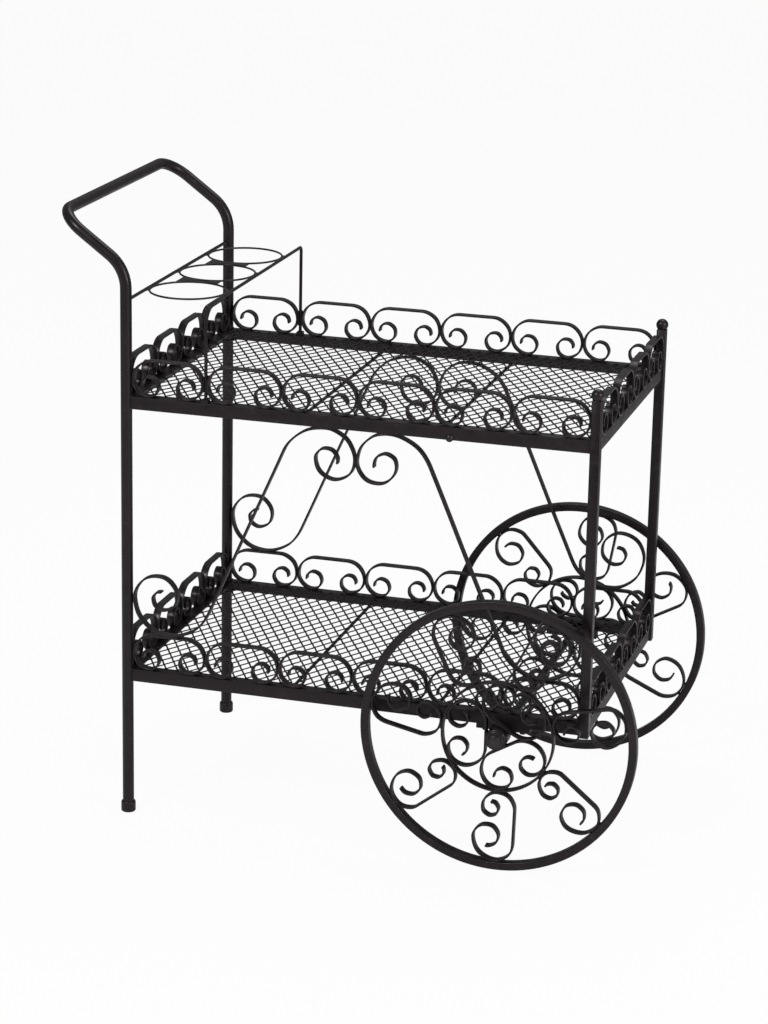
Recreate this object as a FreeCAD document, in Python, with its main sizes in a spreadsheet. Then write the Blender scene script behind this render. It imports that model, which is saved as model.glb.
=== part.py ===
import FreeCAD
import Part
import math
import os

import Sketcher

# Two-tier wrought-iron flower cart, in millimetres.
# +X points from the push handle to the two wheels, +Y from the front long side to the back one,
# +Z up. The origin is on the floor, under the middle of the whole cart.

Vec = FreeCAD.Vector
UP = Vec(0, 0, 1)
doc = FreeCAD.newDocument("FlowerCart")

DIMENSIONS = (
    ("mid_x", 12.5, "middle of the trays, along X from the origin"),
    ("half_x", 354, "outer half length of a tray rim"),
    ("half_y", 229, "outer half width of a tray rim"),
    ("upright_x", 350, "corner uprights and posts, from the middle of the trays"),
    ("upright_y", 225, "corner uprights and posts, from the middle of the trays"),
    ("fit", 0.05, "play around a tube or pin inside its seat"),
    ("tube_d", 17, "handle tube, outer diameter"),
    ("tube_wall", 1.5, "wall of the round and the square tube"),
    ("bend_z", 840, "height where the uprights lean over into the handle arms"),
    ("bend_r", 60, "radius of that bend"),
    ("handle_reach", 101.5, "how far the crossbar stands out past the uprights"),
    ("handle_z", 914, "height of the crossbar"),
    ("corner_r", 42, "radius of the two handle corners"),
    ("cap_d", 22, "foot cap, diameter"),
    ("cap_h", 17, "foot cap, height"),
    ("cap_floor", 3, "thickness of the foot cap under the tube"),
    ("post_w", 14.5, "square post, width"),
    ("post_foot_z", 208, "lower end of the square posts"),
    ("post_top_z", 709, "upper end of the square posts"),
    ("ball_d", 18.6, "ball finial, diameter"),
    ("ball_z", 716, "ball finial, height of its middle"),
    ("upper_z", 651, "top of the upper tray rim"),
    ("lower_z", 230, "top of the lower tray rim"),
    ("angle_leg", 19, "angle iron, width of a leg"),
    ("angle_t", 3, "angle iron, thickness"),
    ("net_t", 2, "expanded mesh, thickness"),
    ("net_half_x", 338.5, "mesh, half length"),
    ("net_half_y", 213.5, "mesh, half width"),
    ("net_cols", 75, "half cells of the mesh along X"),
    ("net_rows", 26, "half cells of the mesh along Y"),
    ("strand_w", 2.4, "width of a mesh strand"),
    ("rod_d", 5, "cross rods, rack rails and rack legs, diameter"),
    ("rod_left_x", -77, "first cross rod of the upper tray"),
    ("rod_low_x", -93, "first cross rod of the lower tray"),
    ("rod_right_x", 130, "second cross rod of both trays"),
    ("strip_t", 3, "scroll strip, thickness"),
    ("strip_w", 12, "scroll strip, width"),
    ("strip_in_y", 216, "inner edge of the long side ironwork"),
    ("strip_in_x", 344, "inner edge of the short side ironwork"),
    ("gallery_h", 56, "height of the gallery scrolls"),
    ("scroll_gap", 0.2, "gap between scrolls that stand side by side"),
    ("rack_z", 792, "height of the pot ring rack"),
    ("rack_leg_x", -228.5, "legs of the pot ring rack"),
    ("rack_leg_y", 222, "legs of the pot ring rack"),
    ("rack_corner_r", 6, "bend radius of the rack wire"),
    ("rack_foot_h", 5, "height of the blocks under the rack legs"),
    ("rack_foot_l", 10, "length of the blocks under the rack legs"),
    ("ring_x", -289.25, "middle of the pot rings"),
    ("ring_r", 56.7, "pot ring, radius of its centre line"),
    ("ring_d", 3, "pot ring, wire diameter"),
    ("ring_pitch", 129, "spacing of the pot rings"),
    ("web_t", 3, "plates between the pot rings, thickness"),
    ("web_handle_side", 36, "reach of those plates from the ring middles towards the handle"),
    ("web_wheel_side", 24, "reach of those plates from the ring middles towards the wheels"),
    ("web_slot_l", 16, "slot in the front plate, length"),
    ("web_slot_w", 5, "slot in the front plate, width"),
    ("bolt_x", 139, "domed bolt in the front upper rim"),
    ("bolt_z", 635, "domed bolt in the front upper rim"),
    ("bolt_head_d", 12, "domed bolt, head diameter"),
    ("bolt_head_h", 4, "domed bolt, head height"),
    ("bolt_d", 5, "domed bolt, shank diameter"),
    ("wheel_x", 230, "wheel axle, from the middle of the trays"),
    ("wheel_y", 255.6, "middle plane of a wheel"),
    ("wheel_r", 205, "outer radius of a wheel and height of the axle"),
    ("rim_t", 12, "rim bar, radial thickness"),
    ("rim_w", 14, "rim bar, width"),
    ("rim_round", 1.2, "rounding of the rim bar"),
    ("inner_ring_r", 82.5, "inner ring, radius of its centre line"),
    ("outer_turn", 12.857, "angle of the first scroll between the rim and the inner ring"),
    ("hub_count", 3, "scrolls between the inner ring and the hub"),
    ("hub_turn", 60, "angle of the first hub scroll"),
    ("back_wheel_turn", 36.3, "how far the back wheel is turned on the axle"),
    ("hub_d", 32, "hub barrel, diameter"),
    ("hub_w", 34, "hub barrel, width"),
    ("hub_bevel", 2, "bevel of the hub barrel"),
    ("axle_d", 12, "axle, diameter"),
    ("axle_half", 278, "half length of the axle"),
    ("running_fit", 0.06, "radial play of the hub on the axle"),
    ("end_play", 0.3, "play between the hub and what stands beside it"),
    ("collar_d", 20, "spacer collars, washers and end caps, diameter"),
    ("collar_in_y", 229.3, "inner end of the spacer collars"),
    ("washer_t", 1.5, "outer washer, thickness"),
    ("washer_d", 26, "outer washer, diameter"),
    ("cap_nut_h", 8, "axle end cap, height"),
    ("saddle_l", 80, "axle saddle, length"),
    ("saddle_w", 14, "axle saddle, width"),
    ("saddle_h", 14, "axle saddle, height above the middle of the axle"),
    ("saddle_in_y", 212, "inner face of the axle saddles"),
    ("strap_t", 2, "axle strap, thickness"),
    ("clamp_x", 28, "clamp bolts, each side of the axle"),
    ("clamp_d", 5, "clamp bolts, shank diameter"),
    ("clamp_head", 8, "clamp bolts, width of the hexagon head"),
    ("clamp_head_h", 3.5, "clamp bolts, head height"),
    ("clamp_l", 10, "clamp bolts, length in the saddle"),
    ("lyre_top_x", 47, "highest point of a lyre strip"),
    ("lyre_fall", 66.5, "slope of the straight arm of a lyre strip"),
)

sheet = doc.addObject("Spreadsheet::Sheet", "Dims")
for row, (alias, value, note) in enumerate(DIMENSIONS, start=1):
    sheet.set(f"A{row}", note)
    sheet.set(f"B{row}", str(value))
    sheet.setAlias(f"B{row}", alias)
doc.recompute()


def dim(alias):
    return float(sheet.get(alias))


nodes = []


def bind(target, **expressions):
    """Tie properties of an object to the sheet; "at_x" and the like set its position."""
    for key, expression in expressions.items():
        path = f"Placement.Base.{key[-1]}" if key.startswith("at_") else key
        target.setExpression(path, expression)


def new_body(label, turn=0, **position):
    body = doc.addObject("PartDesign::Body", label)
    body.Label = label
    body.Placement = FreeCAD.Placement(Vec(), FreeCAD.Rotation(UP, turn))
    bind(body, **position)
    nodes.append(body)
    return body


def new_sketch(body, plane, name, shift_x=None, shift_y=None, lift=None):
    """Sketch on one of the body's origin planes, moved in that plane or lifted off it."""
    support = next(f for f in body.Origin.OriginFeatures if f.Role == plane)
    sketch = body.newObject("Sketcher::SketchObject", f"{body.Name}_{name}")
    sketch.AttachmentSupport = [(support, "")]
    sketch.MapMode = "FlatFace"
    for axis, expression in (("x", shift_x), ("y", shift_y), ("z", lift)):
        if expression:
            sketch.setExpression(f"AttachmentOffset.Base.{axis}", expression)
    return sketch


def add_circle(sketch, diameter, start=10.0):
    index = sketch.addGeometry(Part.Circle(Vec(), UP, start / 2))
    sketch.addConstraint(Sketcher.Constraint("Coincident", index, 3, -1, 1))
    size = sketch.addConstraint(Sketcher.Constraint("Diameter", index, start))
    sketch.setExpression(f"Constraints[{size}]", diameter)


def add_rectangle(sketch, width, height, start=10.0):
    corners = [Vec(-start, -start), Vec(start, -start), Vec(start, start), Vec(-start, start)]
    first = sketch.GeometryCount
    for here, after in zip(corners, corners[1:] + corners[:1]):
        sketch.addGeometry(Part.LineSegment(here, after))
    for side in range(4):
        joint = Sketcher.Constraint("Coincident", first + side, 2, first + (side + 1) % 4, 1)
        sketch.addConstraint(joint)
        sketch.addConstraint(Sketcher.Constraint(("Horizontal", "Vertical")[side % 2], first + side))
    sketch.addConstraint(Sketcher.Constraint("Symmetric", first, 1, first + 1, 2, -1, 1))
    wide = sketch.addConstraint(Sketcher.Constraint("DistanceX", first, 1, first, 2, 2 * start))
    high = sketch.addConstraint(Sketcher.Constraint("DistanceY", first + 1, 1, first + 1, 2, 2 * start))
    sketch.setExpression(f"Constraints[{wide}]", width)
    sketch.setExpression(f"Constraints[{high}]", height)


def add_outline(sketch, points):
    for here, after in zip(points, points[1:] + points[:1]):
        sketch.addGeometry(Part.LineSegment(Vec(*here), Vec(*after)))


def add_pad(body, sketch, length, middle=False, down=False):
    pad = body.newObject("PartDesign::Pad", f"{sketch.Name}_pad")
    pad.Profile = sketch
    pad.SideType = "Symmetric" if middle else "One side"
    pad.Reversed = down
    pad.setExpression("Length", length)
    doc.recompute()
    return pad


def add_pocket(body, sketch, length, middle=False, up=False):
    before = body.Shape.Volume
    pocket = body.newObject("PartDesign::Pocket", f"{sketch.Name}_pocket")
    pocket.Profile = sketch
    pocket.SideType = "Symmetric" if middle else "One side"
    pocket.Reversed = up
    pocket.setExpression("Length", length)
    doc.recompute()
    if body.Shape.Volume >= before:
        raise RuntimeError(f"{pocket.Name} cuts nothing")
    return pocket


def add_turned(body, sketch, axis="V_Axis"):
    turned = body.newObject("PartDesign::Revolution", f"{sketch.Name}_turned")
    turned.Profile = sketch
    turned.ReferenceAxis = (sketch, [axis])
    turned.Angle = 360
    doc.recompute()
    return turned


class Path:
    """Centre line of a bent strip: runs ("run", length) and bends ("bend", radius, angle)."""

    def __init__(self, x, y, heading, moves):
        self.x, self.y, self.heading, self.moves = x, y, heading, moves

    def spans(self):
        x, y, heading = self.x, self.y, self.heading
        for move in self.moves:
            angle = math.radians(heading)
            if move[0] == "run":
                end = (x + move[1] * math.cos(angle), y + move[1] * math.sin(angle), heading)
                centre = None
            else:
                side = math.copysign(move[1], move[2])
                centre = (x - side * math.sin(angle), y + side * math.cos(angle))
                turned = math.radians(heading + move[2])
                end = (
                    centre[0] + side * math.sin(turned),
                    centre[1] - side * math.cos(turned),
                    heading + move[2],
                )
            yield (x, y, heading), move, end, centre
            x, y, heading = end

    def reversed(self):
        x, y, heading = list(self.spans())[-1][2]
        back = [m if m[0] == "run" else (m[0], m[1], -m[2]) for m in self.moves[::-1]]
        return Path(x, y, heading + 180, back)

    def flipped(self):
        """Mirror image across the local x axis."""
        flip = [m if m[0] == "run" else (m[0], m[1], -m[2]) for m in self.moves]
        return Path(self.x, -self.y, -self.heading, flip)

    def placed(self, x, y, turn):
        angle = math.radians(turn)
        return Path(
            x + self.x * math.cos(angle) - self.y * math.sin(angle),
            y + self.x * math.sin(angle) + self.y * math.cos(angle),
            self.heading + turn,
            self.moves,
        )


def joined(back, ahead):
    """One path out of two that leave the same point in opposite directions."""
    whole = back.reversed()
    return Path(whole.x, whole.y, whole.heading, whole.moves + ahead.moves)


def add_strip(sketch, path):
    """Outline of a strip of the sheet's thickness bent along a path."""
    half = dim("strip_t") / 2

    def beside(state, offset):
        angle = math.radians(state[2])
        return Vec(state[0] - offset * math.sin(angle), state[1] + offset * math.cos(angle))

    spans = list(path.spans())
    for offset in (half, -half):
        for start, move, end, centre in spans:
            if move[0] == "run":
                sketch.addGeometry(Part.LineSegment(beside(start, offset), beside(end, offset)))
                continue
            radius = move[1] - math.copysign(1, move[2]) * offset
            first = math.radians(start[2] - math.copysign(90, move[2]))
            last = first + math.radians(move[2])
            circle = Part.Circle(Vec(*centre), UP, radius)
            sketch.addGeometry(Part.ArcOfCircle(circle, min(first, last), max(first, last)))
    for state in (spans[0][0], spans[-1][2]):
        sketch.addGeometry(Part.LineSegment(beside(state, half), beside(state, -half)))


# ------------------------------------------------------------------------------- handle tube


def handle_line():
    """Centre line of the bent handle tube, up one upright, across and down the other."""
    x, y, foot = -dim("upright_x"), dim("upright_y"), dim("cap_floor")
    corners = [
        Vec(x, -y, foot),
        Vec(x, -y, dim("bend_z")),
        Vec(x - dim("handle_reach"), -y, dim("handle_z")),
        Vec(x - dim("handle_reach"), y, dim("handle_z")),
        Vec(x, y, dim("bend_z")),
        Vec(x, y, foot),
    ]
    radii = [dim("bend_r"), dim("corner_r"), dim("corner_r"), dim("bend_r")]
    edges = []
    here = corners[0]
    for before, corner, after, radius in zip(corners, corners[1:], corners[2:], radii):
        way_in = (corner - before).normalize()
        way_out = (after - corner).normalize()
        turn = way_in.getAngle(way_out)
        reach = radius * math.tan(turn / 2)
        start = corner - way_in * reach
        end = corner + way_out * reach
        inward = (way_out - way_in).normalize()
        middle = corner + inward * (radius / math.cos(turn / 2) - radius)
        edges.append(Part.LineSegment(here, start).toShape())
        edges.append(Part.Arc(start, middle, end).toShape())
        here = end
    edges.append(Part.LineSegment(here, corners[-1]).toShape())
    return Part.Wire(edges)


line = doc.addObject("Part::Feature", "handle_line")
line.Shape = handle_line()
bores = []
for name, wall in (("tube_outside", "0"), ("tube_inside", "Dims.tube_wall")):
    ring = doc.addObject("Part::Circle", f"{name}_ring")
    ring.setExpression("Radius", f"Dims.tube_d / 2 - {wall}")
    bind(ring, at_x="-Dims.upright_x", at_y="-Dims.upright_y", at_z="Dims.cap_floor")
    sweep = doc.addObject("Part::Sweep", name)
    sweep.Sections = [ring]
    sweep.Spine = (line, [f"Edge{n + 1}" for n in range(len(line.Shape.Edges))])
    sweep.Solid = True
    sweep.Transition = "Right corner"
    bores.append(sweep)
handle = doc.addObject("Part::Cut", "handle_frame")
handle.Label = "handle_frame"
handle.Base, handle.Tool = bores
bind(handle, at_x="Dims.mid_x")
nodes.append(handle)

# --------------------------------------------------------------- foot caps, posts and finials

for place, side in (("front", "-"), ("back", "")):
    at_y = f"{side}Dims.upright_y"

    cap = new_body(f"foot_cap_{place}", at_x="Dims.mid_x - Dims.upright_x", at_y=at_y)
    radius, height = dim("cap_d") / 2, dim("cap_h")
    seat = dim("tube_d") / 2 + dim("fit")
    outline = new_sketch(cap, "XZ_Plane", "outline")
    profile = [(0, 0), (radius - 1.5, 0), (radius - 0.4, 0.6), (radius, 2), (radius, height - 3)]
    profile += [(radius - 0.6, height - 1), (seat + 0.8, height), (seat, height)]
    add_outline(outline, profile + [(seat, dim("cap_floor")), (0, dim("cap_floor"))])
    add_turned(cap, outline)

    post_x = "Dims.mid_x + Dims.upright_x"
    post = new_body(f"wheel_post_{place}", at_x=post_x, at_y=at_y, at_z="Dims.post_foot_z")
    outline = new_sketch(post, "XY_Plane", "outline")
    add_rectangle(outline, "Dims.post_w", "Dims.post_w")
    add_pad(post, outline, "Dims.post_top_z - Dims.post_foot_z")
    bore = new_sketch(post, "XY_Plane", "bore")
    inside = "Dims.post_w - 2 * Dims.tube_wall"
    add_rectangle(bore, inside, inside, start=4)
    add_pocket(post, bore, "Dims.post_top_z - Dims.post_foot_z", up=True)

    ball = new_body(f"finial_{place}", at_x=post_x, at_y=at_y, at_z="Dims.ball_z")
    outline = new_sketch(ball, "XZ_Plane", "outline")
    radius, cut = dim("ball_d") / 2, dim("ball_z") - dim("post_top_z")
    low = -math.asin(cut / radius)
    rim = Vec(radius * math.cos(low), -cut)
    outline.addGeometry(Part.ArcOfCircle(Part.Circle(Vec(), UP, radius), low, math.pi / 2))
    outline.addGeometry(Part.LineSegment(Vec(0, radius), Vec(0, -cut)))
    outline.addGeometry(Part.LineSegment(Vec(0, -cut), rim))
    add_turned(ball, outline)

# ------------------------------------------------------------------- trays: rim, mesh and rods


def clipped(points, half_x, half_y):
    """Part of a convex outline inside an upright rectangle around the origin."""
    for axis, sign, limit in ((0, 1, half_x), (0, -1, half_x), (1, 1, half_y), (1, -1, half_y)):
        kept = []
        for here, after in zip(points, points[1:] + points[:1]):
            room, room_after = limit - sign * here[axis], limit - sign * after[axis]
            if room >= 0:
                kept.append(here)
            if room * room_after < 0:
                share = room / (room - room_after)
                kept.append(tuple(a + share * (b - a) for a, b in zip(here, after)))
        points = kept
    return points


def net_face():
    """Flat sheet with diamond openings; those at the edges are cut off by the edge strand."""
    half_x, half_y, strand = dim("net_half_x"), dim("net_half_y"), dim("strand_w")
    step_x, step_y = 2 * half_x / dim("net_cols"), 2 * half_y / dim("net_rows")
    reach = step_x * step_y / math.hypot(step_x, step_y)
    open_x = step_x * (1 - strand / 2 / reach)
    open_y = step_y * (1 - strand / 2 / reach)
    wires = [Part.makePlane(2 * half_x, 2 * half_y, Vec(-half_x, -half_y, 0)).OuterWire]
    for col in range(int(dim("net_cols")) + 1):
        for row in range(col % 2, int(dim("net_rows")) + 1, 2):
            x, y = col * step_x - half_x, row * step_y - half_y
            diamond = [(x + open_x, y), (x, y - open_y), (x - open_x, y), (x, y + open_y)]
            hole = clipped(diamond, half_x - strand / 2, half_y - strand / 2)
            wires.append(Part.makePolygon([Vec(*p) for p in hole + hole[:1]]))
    return Part.Face(wires)


net = doc.addObject("Part::Feature", "net_face")
net.Shape = net_face()

for tier, first_rod in (("upper", "Dims.rod_left_x"), ("lower", "Dims.rod_low_x")):
    top = f"Dims.{tier}_z"

    rim = new_body(f"{tier}_tray_rim", at_x="Dims.mid_x", at_z=top)
    outer = new_sketch(rim, "XY_Plane", "outer")
    add_rectangle(outer, "2 * Dims.half_x", "2 * Dims.half_y", start=200)
    add_pad(rim, outer, "Dims.angle_leg", down=True)
    hollow = new_sketch(rim, "XY_Plane", "hollow", lift="-Dims.angle_t")
    wall = "2 * Dims.angle_t"
    add_rectangle(hollow, f"2 * Dims.half_x - {wall}", f"2 * Dims.half_y - {wall}", start=200)
    add_pocket(rim, hollow, "Dims.angle_leg")
    opening = new_sketch(rim, "XY_Plane", "opening")
    wall = "2 * Dims.angle_leg"
    add_rectangle(opening, f"2 * Dims.half_x - {wall}", f"2 * Dims.half_y - {wall}", start=200)
    add_pocket(rim, opening, "Dims.angle_leg")
    for place, side in (("front", "-"), ("back", "")):
        shift = {"shift_y": f"{side}Dims.upright_y"}
        cope = new_sketch(rim, "XY_Plane", f"tube_{place}", shift_x="-Dims.upright_x", **shift)
        add_circle(cope, "Dims.tube_d + 2 * Dims.fit")
        add_pocket(rim, cope, "Dims.angle_leg")
        cope = new_sketch(rim, "XY_Plane", f"post_{place}", shift_x="Dims.upright_x", **shift)
        width = "Dims.post_w + 2 * Dims.fit"
        add_rectangle(cope, width, width)
        add_pocket(rim, cope, "Dims.angle_leg")
    if tier == "upper":
        hole = new_sketch(
            rim, "XZ_Plane", "bolt_hole", shift_x="Dims.bolt_x", shift_y="Dims.bolt_z - Dims.upper_z"
        )
        add_circle(hole, "Dims.bolt_d + 2 * Dims.fit")
        add_pocket(rim, hole, "Dims.half_y + 1", up=True)

    mesh = doc.addObject("Part::Extrusion", f"{tier}_tray_mesh")
    mesh.Label = f"{tier}_tray_mesh"
    mesh.Base = net
    mesh.DirMode = "Custom"
    mesh.Dir = UP
    mesh.Solid = True
    mesh.setExpression("LengthFwd", "Dims.net_t")
    bind(mesh, at_x="Dims.mid_x", at_z=top)
    nodes.append(mesh)

    rods = new_body(f"{tier}_tray_rods", at_x="Dims.mid_x", at_z=f"{top} - Dims.rod_d / 2")
    for name, rod_x in (("first", first_rod), ("second", "Dims.rod_right_x")):
        section = new_sketch(rods, "XZ_Plane", name, shift_x=rod_x)
        add_circle(section, "Dims.rod_d")
        add_pad(rods, section, "2 * (Dims.half_y - Dims.angle_leg)", middle=True)

# -------------------------------------------------------------------- galleries around the trays


def scroll(half_run, bends):
    """Symmetric scroll: its back runs along the local y axis, its curls open towards +x."""
    half = Path(0, 0, 90, [("run", half_run)] + [("bend", r, -a) for r, a in bends])
    return joined(half.flipped(), half)


def gallery_scroll(width):
    bends = [(29, 90), (24, 90), (15, 90), (14, 90), (11, 100)]
    half_run = (width - dim("scroll_gap") - dim("strip_t")) / 2 - bends[0][0]
    return scroll(half_run, bends)


def fill_gallery(body, plane, start, widths):
    """Scrolls side by side from a start along the rim, their backs on top."""
    outline = new_sketch(body, plane, "outline")
    height = dim("gallery_h") - dim("strip_t") / 2
    for width in widths:
        add_strip(outline, gallery_scroll(width).placed(start + width / 2, height, -90))
        start += width
    add_pad(body, outline, "Dims.strip_w")


# the scrolls fill the room between the round tubes, the square posts and the rack legs
leg_x, leg_half = dim("rack_leg_x"), dim("rod_d") / 2
tube_half = dim("tube_d") / 2 + dim("scroll_gap") / 2
post_half = dim("post_w") / 2 + dim("scroll_gap") / 2
long_start, long_end = tube_half - dim("upright_x"), dim("upright_x") - post_half
narrow = leg_x - leg_half - long_start
wide = (long_end - leg_x - leg_half) / 5
for tier in ("upper", "lower"):
    top = f"Dims.{tier}_z"
    for place, at_y in (("front", "-Dims.strip_in_y"), ("back", "Dims.strip_in_y + Dims.strip_w")):
        side = new_body(f"{tier}_gallery_{place}", at_x="Dims.mid_x", at_y=at_y, at_z=top)
        if tier == "lower":
            fill_gallery(side, "XZ_Plane", long_start, [(long_end - long_start) / 6] * 6)
            continue
        outline = new_sketch(side, "XZ_Plane", "outline")
        height = dim("gallery_h") - dim("strip_t") / 2
        add_strip(outline, gallery_scroll(narrow).placed(long_start + narrow / 2, height, -90))
        for number in range(5):
            middle = long_end - (number + 0.5) * wide
            add_strip(outline, gallery_scroll(wide).placed(middle, height, -90))
        add_pad(side, outline, "Dims.strip_w")
    for place, at_x, half in (
        ("handle_end", "Dims.mid_x - Dims.strip_in_x - Dims.strip_w", tube_half),
        ("wheel_end", "Dims.mid_x + Dims.strip_in_x", post_half),
    ):
        side = new_body(f"{tier}_gallery_{place}", at_x=at_x, at_z=top)
        reach = dim("upright_y") - half
        fill_gallery(side, "YZ_Plane", -reach, [reach / 2] * 4)

# ------------------------------------------------------- lyre strips between the two tray rims


def lyre_strip():
    """Centre line of the strip nearer the wheels, seen from the front long side."""
    half = dim("strip_t") / 2
    top = dim("upper_z") - dim("angle_leg") - half
    bottom = dim("lower_z") + dim("gallery_h") + half
    fall = dim("lyre_fall")
    shoulder, foot = 68.5, 67.0
    bent = (shoulder + foot) * (1 - math.cos(math.radians(fall)))
    arm = (top - bottom - bent) / math.sin(math.radians(fall))
    upper = [(45.3, 90), (30, 90), (29, 90), (16.5, 90), (17, 105)]
    lower = [(54, 90), (37, 90), (30, 90), (22, 90), (16, 90), (12, 100)]
    back = Path(dim("lyre_top_x"), top, 180, [("bend", r, a) for r, a in upper])
    moves = [("bend", shoulder, -fall), ("run", arm), ("bend", foot, fall)]
    return joined(back, Path(back.x, back.y, 0, moves + [("bend", r, a) for r, a in lower]))


for place, at_y in (("front", "-Dims.strip_in_y"), ("back", "Dims.strip_in_y + Dims.strip_w")):
    for end in ("handle_side", "wheel_side"):
        lyre = new_body(f"lyre_{place}_{end}", at_x="Dims.mid_x", at_y=at_y)
        outline = new_sketch(lyre, "XZ_Plane", "outline")
        strip = lyre_strip()
        add_strip(outline, strip if end == "wheel_side" else strip.flipped().placed(0, 0, 180))
        add_pad(lyre, outline, "Dims.strip_w")

# -------------------------------------------------------------------------------- pot ring rack

rail = new_body("ring_rack_rail", at_x="Dims.mid_x - Dims.upright_x", at_z="Dims.rack_z")
section = new_sketch(rail, "XZ_Plane", "section")
add_circle(section, "Dims.rod_d")
add_pad(rail, section, "2 * Dims.upright_y - Dims.tube_d", middle=True)

wire = new_body("ring_rack_frame", at_x="Dims.mid_x + Dims.rack_leg_x")
spine = new_sketch(wire, "YZ_Plane", "spine")
leg_y, leg_top = dim("rack_leg_y"), dim("rack_z")
leg_foot = dim("upper_z") + dim("rack_foot_h")
corner = dim("rack_corner_r")
bends = [("bend", corner, -90), ("run", 2 * (leg_y - corner)), ("bend", corner, -90)]
legs = ("run", leg_top - corner - leg_foot)
for start, move, end, centre in Path(-leg_y, leg_foot, 90, [legs] + bends + [legs]).spans():
    if move[0] == "run":
        spine.addGeometry(Part.LineSegment(Vec(*start[:2]), Vec(*end[:2])))
    else:
        first = math.radians(start[2] + 90)
        circle = Part.Circle(Vec(*centre), UP, corner)
        spine.addGeometry(Part.ArcOfCircle(circle, first - math.pi / 2, first))
section = new_sketch(
    wire, "XY_Plane", "section", shift_y="-Dims.rack_leg_y", lift="Dims.upper_z + Dims.rack_foot_h"
)
add_circle(section, "Dims.rod_d")
doc.recompute()
pipe = wire.newObject("PartDesign::AdditivePipe", "ring_rack_frame_pipe")
pipe.Profile = section
pipe.Spine = (spine, [f"Edge{n + 1}" for n in range(5)])
doc.recompute()

feet = new_body("ring_rack_feet", at_x="Dims.mid_x + Dims.rack_leg_x", at_z="Dims.upper_z")
for place, side in (("front", "-"), ("back", "")):
    middle = f"{side}(Dims.strip_in_y + Dims.strip_w / 2)"
    outline = new_sketch(feet, "XY_Plane", place, shift_y=middle)
    add_rectangle(outline, "Dims.rack_foot_l", "Dims.strip_w")
    add_pad(feet, outline, "Dims.rack_foot_h")

for place, middle in (("front", "-Dims.ring_pitch"), ("middle", "0"), ("back", "Dims.ring_pitch")):
    ring = doc.addObject("Part::Torus", f"pot_ring_{place}")
    ring.Label = f"pot_ring_{place}"
    bind(ring, Radius1="Dims.ring_r", Radius2="Dims.ring_d / 2")
    bind(ring, at_x="Dims.mid_x + Dims.ring_x", at_y=middle, at_z="Dims.rack_z")
    nodes.append(ring)

for place, middle in (("front", "-Dims.ring_pitch / 2"), ("back", "Dims.ring_pitch / 2")):
    web = new_body(f"ring_web_{place}", at_x="Dims.mid_x + Dims.ring_x", at_y=middle, at_z="Dims.rack_z")
    outline = new_sketch(web, "XY_Plane", "outline")
    clear = dim("ring_r") + dim("ring_d") / 2 + dim("scroll_gap") / 2
    low, high = (math.acos(dim(f"web_{end}_side") / clear) for end in ("wheel", "handle"))
    ends = []
    for way in (-1, 1):
        around_ring = Part.Circle(Vec(0, way * dim("ring_pitch") / 2), UP, clear)
        first, last = (low, math.pi - high) if way < 0 else (high - math.pi, -low)
        edge = Part.ArcOfCircle(around_ring, first, last)
        outline.addGeometry(edge)
        ends.append((edge.StartPoint, edge.EndPoint))
    outline.addGeometry(Part.LineSegment(ends[0][1], ends[1][0]))
    outline.addGeometry(Part.LineSegment(ends[1][1], ends[0][0]))
    add_pad(web, outline, "Dims.web_t", middle=True)
    if place == "front":
        slot = new_sketch(web, "XY_Plane", "slot")
        add_rectangle(slot, "Dims.web_slot_l", "Dims.web_slot_w")
        add_pocket(web, slot, "2 * Dims.web_t", middle=True)

# -------------------------------------------------------------------- domed bolt of the upper rim

bolt = new_body("rail_bolt", at_x="Dims.mid_x + Dims.bolt_x", at_y="-Dims.half_y", at_z="Dims.bolt_z")
outline = new_sketch(bolt, "XY_Plane", "outline")
head, rise, shank = dim("bolt_head_d") / 2, dim("bolt_head_h"), dim("bolt_d") / 2
ball = (head**2 + rise**2) / (2 * rise)
dome = Part.Circle(Vec(0, ball - rise), UP, ball)
edge = math.atan2(rise - ball, head)
outline.addGeometry(Part.ArcOfCircle(dome, -math.pi / 2, edge))
corners = [(head, 0), (shank, 0), (shank, dim("angle_t") + 3), (0, dim("angle_t") + 3), (0, -rise)]
for here, after in zip(corners, corners[1:]):
    outline.addGeometry(Part.LineSegment(Vec(*here), Vec(*after)))
add_turned(bolt, outline)

# ------------------------------------------------------------------------ axle and what holds it

axle = doc.addObject("Part::Cylinder", "axle")
axle.Label = "axle"
axle.Placement = FreeCAD.Placement(Vec(), FreeCAD.Rotation(Vec(1, 0, 0), -90))
bind(axle, Radius="Dims.axle_d / 2", Height="2 * Dims.axle_half")
bind(axle, at_x="Dims.mid_x + Dims.wheel_x", at_y="-Dims.axle_half", at_z="Dims.wheel_r")
nodes.append(axle)

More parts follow.
